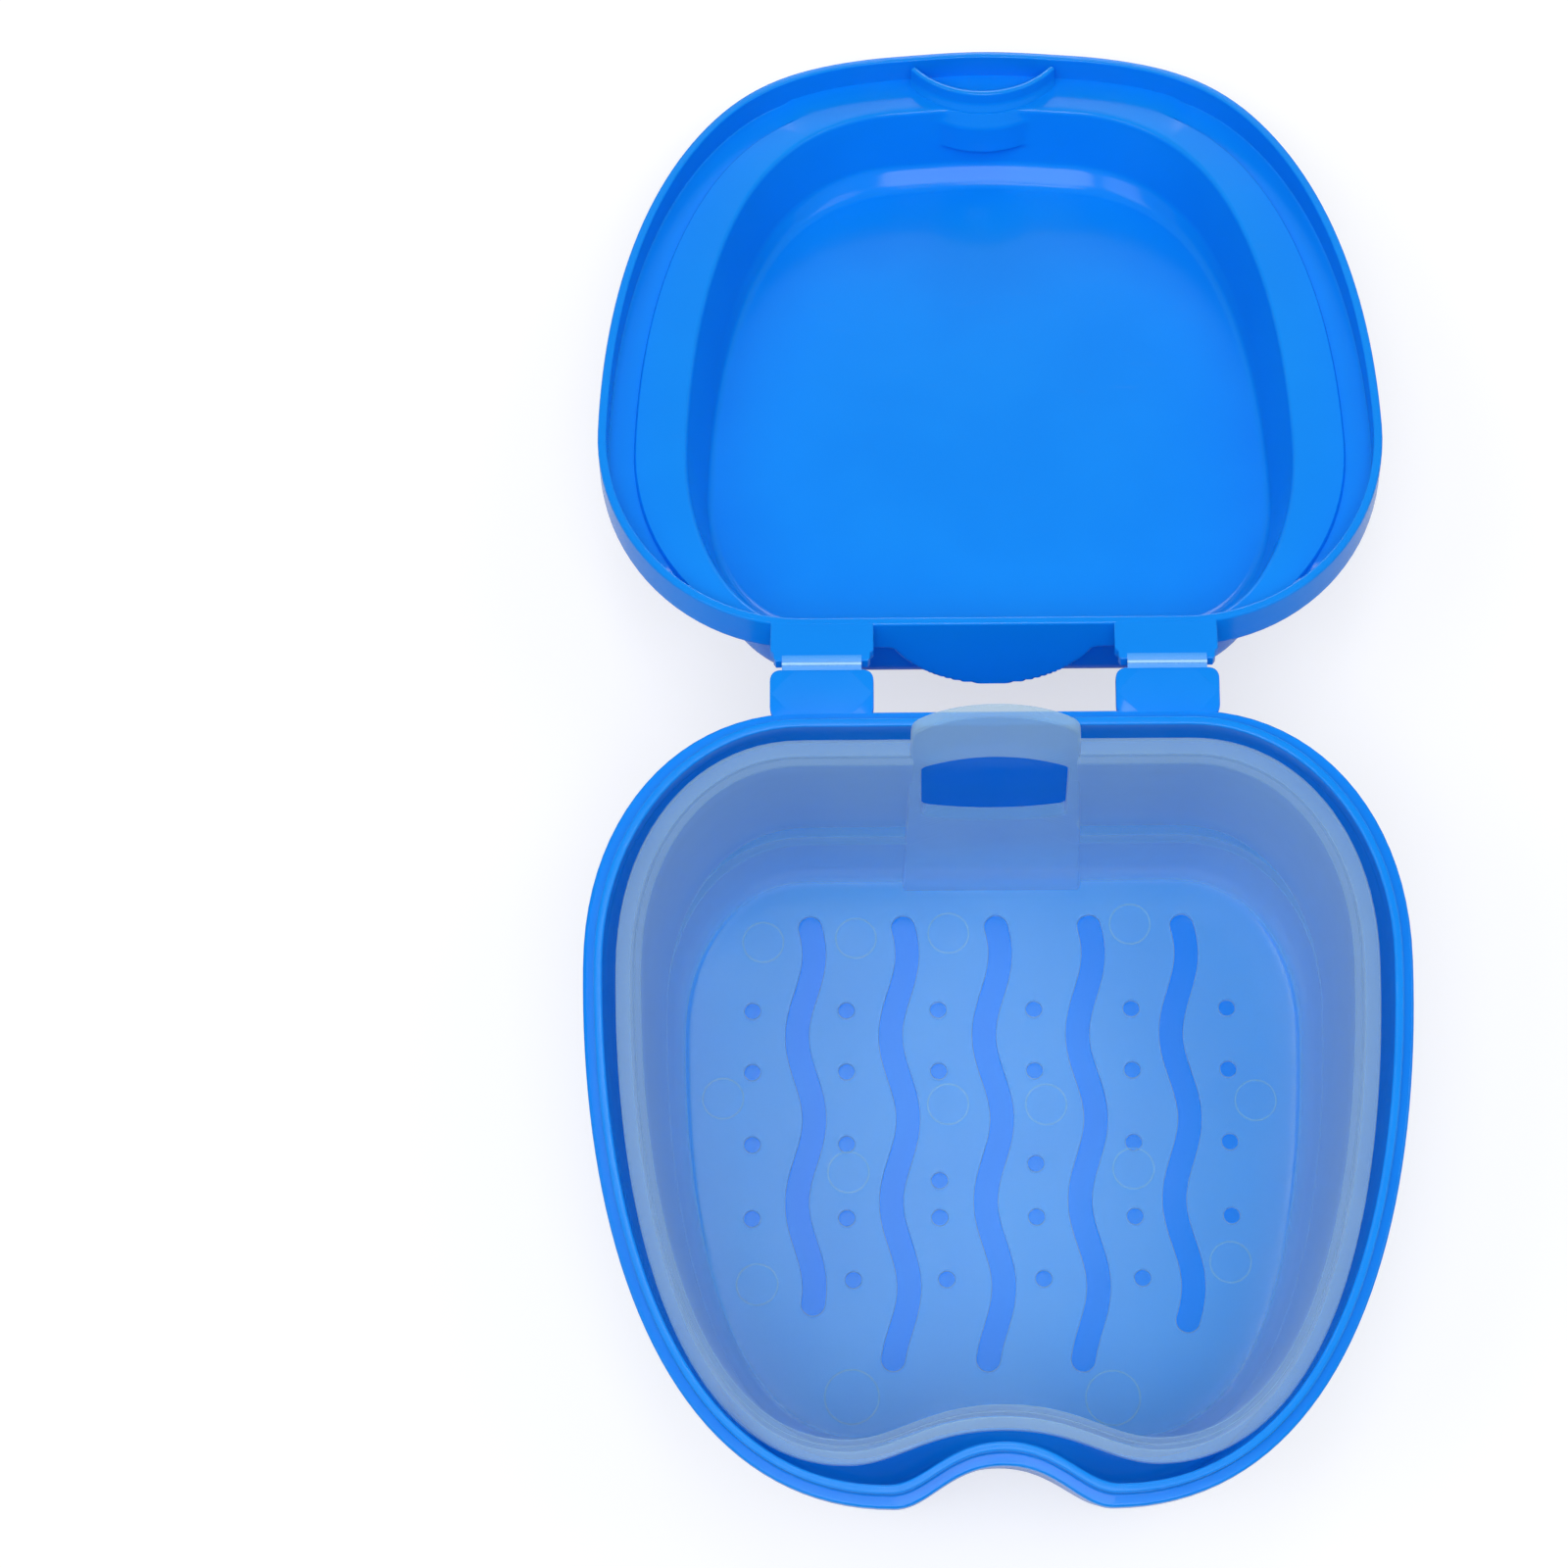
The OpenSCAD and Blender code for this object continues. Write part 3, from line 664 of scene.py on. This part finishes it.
shoulder = plate_len - ARCH_DROP
arch_start = math.degrees(math.acos(TOP_HALF / ARCH_R))
handle_loop = soft_loop([
    line((-FOOT_HALF, -SINK), (FOOT_HALF, -SINK)),
    line((FOOT_HALF, -SINK), (TOP_HALF, shoulder)),
    arc((0, plate_len - ARCH_R), ARCH_R, arch_start, 180 - arch_start, 80),
    line((-TOP_HALF, shoulder), (-FOOT_HALF, -SINK))], HANDLE_CORNER)
low, high = along_plate(WINDOW_LOW), along_plate(WINDOW_HIGH)
window_loop = soft_loop([
    bow(-WINDOW_HALF, WINDOW_HALF, low, low - WINDOW_SAG),
    line((WINDOW_HALF, low), (WINDOW_HALF, high - WINDOW_SIDE)),
    bow(WINDOW_HALF, -WINDOW_HALF, high - WINDOW_SIDE, high),
    line((-WINDOW_HALF, high - WINDOW_SIDE), (-WINDOW_HALF, low))], HANDLE_CORNER)
handle_points, handle_faces = plate([handle_loop, window_loop], 0, HANDLE_T, edge=HANDLE_EDGE, steps=5)

CUT_IN, CUT_BACK, CUT_FOOT_D, CUT_HEAD_D = 0.35, 2, FOOT_D - 0.3, 11.6
cut_low, cut_top = basket_low_z - 1, BASKET_Z + 3
narrowing = (FOOT_HALF - TOP_HALF) * along_plate(cut_top) / shoulder
cut_foot, cut_head = FOOT_HALF - CUT_IN, FOOT_HALF - narrowing - CUT_IN
cutter_side = [
    (cut_foot, CUT_FOOT_D, cut_low),
    (cut_foot, CUT_FOOT_D, basket_top_z),
    (cut_head, CUT_HEAD_D, cut_top),
    (cut_head, CUT_BACK, cut_top),
    (cut_foot, CUT_BACK, basket_top_z),
    (cut_foot, CUT_BACK, cut_low)]
cutter_points, cutter_faces = skin([[(s * half, d, z) for half, d, z in cutter_side] for s in (-1, 1)])


def fuse(name, points_and_faces, steps):
    """Applies Booleans in turn to a mesh and gives the points and faces that come out."""
    first = make(name + "_blank", *points_and_faces, body=None)
    helpers = [first]
    for operation, other in steps:
        tool = make(name + "_tool", *other, body=None)
        helpers.append(tool)
        change = first.modifiers.new(operation.lower(), "BOOLEAN")
        change.operation, change.object, change.solver = operation, tool, "EXACT"
    solid = first.evaluated_get(bpy.context.evaluated_depsgraph_get()).to_mesh()
    result = ([tuple(v.co) for v in solid.vertices], [tuple(p.vertices) for p in solid.polygons])
    for helper in helpers:
        bpy.data.objects.remove(helper)
    return result


points, faces = fuse("basket", (place(cup_points), cup_faces),
                     [("DIFFERENCE", (place(cutter_points), cutter_faces)),
                      ("UNION", (place(stand_up(handle_points)), handle_faces))])
make("basket_moulding", points, faces, "basket", ["basket_wall", "basket_floor", "basket_handle"],
     "basket_frosted", crease=32)

# %% [markdown]
# ### Marks of the mould
# Pins push a basket out of its mould and leave faint circles in the floor. They are real rings here, a few
# hundredths of a millimetre high, because a bump texture would need one mask for each of them.

# %% Pin marks
PIN_R, WIDE_PIN_R = 2.25, 2.95
MARK_R, MARK_H, MARK_LIFT = 0.09, 0.05, 0.02
PINS = ((-25.4, 21.2), (-15.1, 20.8), (-4.8, 20.3), (15.4, 19.4), (-29.8, 38.8), (-5.0, 39.6), (5.8, 39.7),
        (-16.0, 47.1), (15.3, 46.9), (28.9, 39.4), (25.7, 57.3), (-26.0, 59.4))
WIDE_PINS = ((-15.7, 71.7), (12.6, 72.0))


def pin_mark(x, d, radius):
    """Points and faces of one thin ring that stands just out of the floor."""
    m, n = 40, 6
    around = np.linspace(0, math.tau, m + 1)[:-1]
    section = np.linspace(0, math.tau, n + 1)[:-1]
    made = []
    for a in around:
        for b in section:
            reach = radius + MARK_R * math.cos(b)
            height = basket_top_z + MARK_LIFT + MARK_H * math.sin(b)
            made.append((x + reach * math.cos(a), d + reach * math.sin(a), height))
    quads = [(i * n + j, ((i + 1) % m) * n + j, ((i + 1) % m) * n + (j + 1) % n, i * n + (j + 1) % n)
             for i in range(m) for j in range(n)]
    return made, quads


points, faces = [], []
for x, d, radius in [(x, d, PIN_R) for x, d in PINS] + [(x, d, WIDE_PIN_R) for x, d in WIDE_PINS]:
    more, quads = pin_mark(x, d, radius)
    faces += [tuple(i + len(points) for i in q) for q in quads]
    points += more
make("basket_pin_marks", place(points), faces, "basket", (), "basket_frosted", crease=80)

# %% [markdown]
# ## Shader maths as plain sums
# Node trees are easier to read as formulas. `Shade` wraps a socket, so that `1 - mask` or `a * b` makes
# the Math node itself, and its `node` method makes any other node.

# %% Shader helper
class Shade:
    """A shader value that can be added and multiplied as if it were a number."""

    def __init__(self, tree, socket=None):
        self.tree, self.socket = tree, socket

    def node(self, kind, settings=None, inputs=None, out=0):
        """Makes a node: its settings first, then values or links for its sockets."""
        made = self.tree.nodes.new(kind)
        for key, value in (settings or {}).items():
            setattr(made, key, value)
        for key, value in (inputs or {}).items():
            if isinstance(value, Shade):
                self.tree.links.new(value.socket, made.inputs[key])
            else:
                made.inputs[key].default_value = value
        return Shade(self.tree, made.outputs[out] if made.outputs else None)

    def maths(self, operation, a, b=0.0):
        return self.node("ShaderNodeMath", {"operation": operation}, {0: a, 1: b})

    def __add__(self, other):
        return self.maths("ADD", self, other)

    __radd__ = __add__

    def __mul__(self, other):
        return self.maths("MULTIPLY", self, other)

    __rmul__ = __mul__

    def __sub__(self, other):
        return self.maths("SUBTRACT", self, other)

    def __rsub__(self, other):
        return self.maths("SUBTRACT", other, self)

    def mix(self, a, b):
        """A colour that goes from a to b as this value goes from 0 to 1."""
        return self.node("ShaderNodeMix", {"data_type": "RGBA"}, {0: self, 6: a, 7: b}, out=2)

    def step(self, low, high):
        """0 below low, 1 above high, smooth between."""
        return self.node("ShaderNodeMapRange", {"interpolation_type": "SMOOTHSTEP"},
                         {0: self, 1: low, 2: high})


def new_look(name):
    """A material with an empty tree. Gives its Shade and a function that connects the last surface."""
    look = bpy.data.materials.new(name)
    look.use_nodes = True
    look.node_tree.nodes.clear()
    shade = Shade(look.node_tree)

    def close(surface):
        shade.node("ShaderNodeOutputMaterial", None, {0: surface})
        return look
    return shade, close


def noise(shade, where, size_mm, detail=3.0, rough=0.5):
    """Noise from 0 to 1 with features of about this size."""
    return shade.node("ShaderNodeTexNoise", None, {"Vector": where, "Scale": 1 / (size_mm * MM),
                                                   "Detail": detail, "Roughness": rough})


# %% [markdown]
# ## Glossy blue plastic
# The case is polypropylene from a polished mould: one deep even blue with a clear gloss. Real mouldings
# are never quite flat, so a broad ripple bends the reflections a little, a fine grain breaks them up, and
# a few hairline scuffs scattered over it make it rougher here and there.

# %% Case blue
CASE_BLUE, CASE_DEEP = (0.003, 0.265, 0.92, 1), (0.002, 0.25, 0.90, 1)


def case_look():
    shade, close = new_look("case_blue_gloss")
    where = shade.node("ShaderNodeTexCoord", out=3)
    ripple = noise(shade, where, 14, detail=2)
    grain = noise(shade, where, 0.35, detail=4)
    long_way = shade.node("ShaderNodeMapping", None, {"Vector": where, "Rotation": (0.3, 0.2, 0.9),
                                                      "Scale": (1, 14, 6)})
    scuffs = noise(shade, long_way, 5, detail=6, rough=0.65).step(0.60, 0.72)
    height = ripple * 0.4 + grain * 0.012 + scuffs * -0.008
    bump = shade.node("ShaderNodeBump", None, {"Strength": 0.18, "Distance": 0.0004, "Height": height})
    surface = shade.node("ShaderNodeBsdfPrincipled", None, {
        "Base Color": ripple.step(0.3, 0.7).mix(CASE_DEEP, CASE_BLUE),
        "Roughness": 0.12 + scuffs * 0.08 + grain * 0.05, "IOR": 1.49, "Specular IOR Level": 0.18,
        "Normal": bump})
    return close(surface)


# %% [markdown]
# ## The folded web
# Where the plastic is drawn thin it turns a little paler. Along the fold a pale line is painted in, a
# painted highlight where the folded edge catches the light.

# %% Web blue
WEB_BLUE, FOLD_HIGHLIGHT_BLUE = (0.02, 0.32, 0.93, 1), (0.35, 0.68, 0.98, 1)


def web_look():
    shade, close = new_look("hinge_web_fold_highlight")
    where = shade.node("ShaderNodeTexCoord", out=3)
    across = shade.node("ShaderNodeSeparateXYZ", None, {0: where}, out=1)
    off_fold = shade.maths("ABSOLUTE", across - HINGE_Y * MM)
    grain = noise(shade, where, 0.25, detail=4)
    # Painted highlight: a pale line along the fold, where the folded edge catches the light.
    fold = 1 - (off_fold + grain * 0.00012).step(0.00012, 0.00034)
    bump = shade.node("ShaderNodeBump", None, {"Strength": 0.3, "Distance": 0.0001,
                                               "Height": grain + fold * 0.4})
    surface = shade.node("ShaderNodeBsdfPrincipled", None, {
        "Base Color": fold.mix(WEB_BLUE, FOLD_HIGHLIGHT_BLUE), "Roughness": 0.3 + grain * 0.15,
        "IOR": 1.49, "Normal": bump})
    return close(surface)


# %% [markdown]
# ## Milky basket plastic
# Unpigmented polypropylene is cloudy: light scatters in it, and what lies behind shows through dimmed. Full
# volume scattering would be slow and noisy in so thin a wall. A pale surface that is partly see-through,
# and less so where the eye looks along the wall, gives the same look. The top band, from the upper wall
# over the rim to the handle's top, is also made paler and less see-through. Part of that is the thicker
# flange, and part is painted light where the top of the basket is better lit. Plastic like this hands most
# light on instead of stopping it, so shadow rays and bounced rays pass nearly untouched.

# %% Frosted basket
MILK, MILK_EDGE_AND_LIT_TOP = (0.30, 0.69, 0.88, 1), (0.66, 0.82, 1.0, 1)
RIM_LOW, RIM_HIGH = 36.0 * MM, 40.2 * MM
RIM_SHARE, PASSED_ON = 0.5, 0.9
CLEAR, EDGE_MILK, RIM_MILK_AND_LIGHT, CLOUD_MILK = 0.12, 0.64, 0.08, 0.06


def basket_look():
    shade, close = new_look("basket_frosted_milk")
    where = shade.node("ShaderNodeTexCoord", out=3)
    cloud = noise(shade, where, 6, detail=4, rough=0.6)
    grain = noise(shade, where, 0.22, detail=5)
    edge = shade.node("ShaderNodeLayerWeight", None, {"Blend": 0.35}, out=1)
    # Painted light: the top band, rim and handle top, is painted paler. Part of this is the thicker flange.
    rim = shade.node("ShaderNodeSeparateXYZ", None, {0: where}, out=2).step(RIM_LOW, RIM_HIGH)
    thick_and_lit = shade.maths("MAXIMUM", edge, rim * RIM_SHARE)
    shadow_ray = shade.node("ShaderNodeLightPath", out=1)
    bounce_ray = shade.node("ShaderNodeLightPath", out=2)
    passing = 1 - shade.maths("MAXIMUM", shadow_ray, bounce_ray) * PASSED_ON
    height = cloud * 0.35 + grain * 0.05
    bump = shade.node("ShaderNodeBump", None, {"Strength": 0.25, "Distance": 0.0004, "Height": height})
    surface = shade.node("ShaderNodeBsdfPrincipled", None, {
        "Base Color": thick_and_lit.mix(MILK, MILK_EDGE_AND_LIT_TOP),
        "Roughness": 0.3 + cloud * 0.12, "IOR": 1.49, "Specular IOR Level": 0.3,
        "Alpha": (CLEAR + edge * EDGE_MILK + rim * RIM_MILK_AND_LIGHT + cloud * CLOUD_MILK) * passing,
        "Coat Weight": 0.1, "Coat Roughness": 0.12, "Normal": bump})
    return close(surface)


LOOKS = {"case_blue": case_look(), "hinge_web_blue": web_look(), "basket_frosted": basket_look()}
for piece in bpy.context.scene.objects:
    if piece.get("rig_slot") in LOOKS and piece.type == "MESH" and not piece.hide_render:
        piece.data.materials.clear()
        piece.data.materials.append(LOOKS[piece["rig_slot"]])
print("looks:", ", ".join(LOOKS))

# %% [markdown]
# ## Floor and light
# The case stands on a plain pale floor. The light is soft: a pale sky, and large round panels above the
# front, to both sides and low behind, so that the gloss shows broad reflections and the shadow stays
# faint. Floor and sky are white for the camera only, and darker for the light that they give the case.

# %% Stage
FLOOR_SIZE, FLOOR_WHITE, FLOOR_GREY = 6.0, (1.0, 1.0, 1.0, 1), (0.80, 0.80, 0.80, 1)
FLOOR_GLOW, GLOW_LEVEL = 0.55, 1.1
SKY_LIGHT, SKY_SEEN = 0.34, 0.66
shade, close = new_look("floor_white")
sees = shade.node("ShaderNodeLightPath", out=0)
lit = shade.node("ShaderNodeBsdfDiffuse", None, {"Color": sees.mix(FLOOR_GREY, FLOOR_WHITE)})
glow = shade.node("ShaderNodeEmission", None, {"Color": FLOOR_WHITE, "Strength": GLOW_LEVEL})
floor_look = close(shade.node("ShaderNodeMixShader", None, {0: sees * FLOOR_GLOW, 1: lit, 2: glow}))
bpy.ops.mesh.primitive_plane_add(size=FLOOR_SIZE, location=(0, 0, 0))
ground = bpy.context.object
ground.name = "ground"
ground.data.materials.append(floor_look)

world = bpy.data.worlds.new("soft_sky")
bpy.context.scene.world = world
world.use_nodes = True
world.node_tree.nodes.clear()
sky = Shade(world.node_tree)
seen = sky.node("ShaderNodeLightPath", out=0)
sky.node("ShaderNodeOutputWorld", None, {0: sky.node("ShaderNodeBackground", None, {
    "Color": (1, 1, 1, 1), "Strength": SKY_LIGHT + seen * SKY_SEEN})})


def panel(name, size, where, aim, watts):
    """A round area lamp that faces a point."""
    light = bpy.data.lights.new(name, "AREA")
    light.shape, light.size, light.energy = "DISK", size, watts
    lamp = bpy.data.objects.new(name, light)
    lamp.location = where
    lamp.rotation_euler = (Vector(aim) - Vector(where)).to_track_quat("-Z", "Y").to_euler()
    bpy.context.scene.collection.objects.link(lamp)
    return lamp


lamps = [panel("main_front", 0.60, (-0.02, -0.24, 1.08), (0, 0.04, 0.03), 5.0),
         panel("gloss_top", 0.20, (-0.02, 0.20, 1.10), (0, 0.02, 0.03), 0.7),
         panel("key_left", 0.50, (-0.60, -0.10, 0.90), (0, 0.02, 0.03), 1.7),
         panel("fill_right", 0.50, (0.60, 0.10, 0.90), (0, 0.02, 0.03), 1.2),
         panel("back_low", 0.36, (0.02, 1.04, 0.24), (0, 0.06, 0.03), 2.0)]

# %% [markdown]
# ## Camera
# The case is seen from a little in front of straight above. The place, tilt and lens were worked out from
# how the rim, the lid and the basket's floor lie over each other in the picture.

# %% Camera
EYE_AT, EYE_TILT, EYE_ROLL = (-0.008, -0.0813, 0.481), math.radians(14.59), math.radians(-0.41)
eye = bpy.data.cameras.new("eye")
eye.lens, eye.sensor_width, eye.shift_x, eye.shift_y = 100.96, 36.0, -0.0858, 0.0
camera = bpy.data.objects.new("eye", eye)
bpy.context.scene.collection.objects.link(camera)
camera.matrix_world = (Matrix.Translation(EYE_AT) @ Matrix.Rotation(EYE_TILT, 4, "X")
                       @ Matrix.Rotation(EYE_ROLL, 4, "Z"))
print("camera tilted from straight down by degrees:", round(math.degrees(EYE_TILT), 2))
bpy.context.scene.camera = camera
bpy.context.scene.view_settings.view_transform = "Standard"
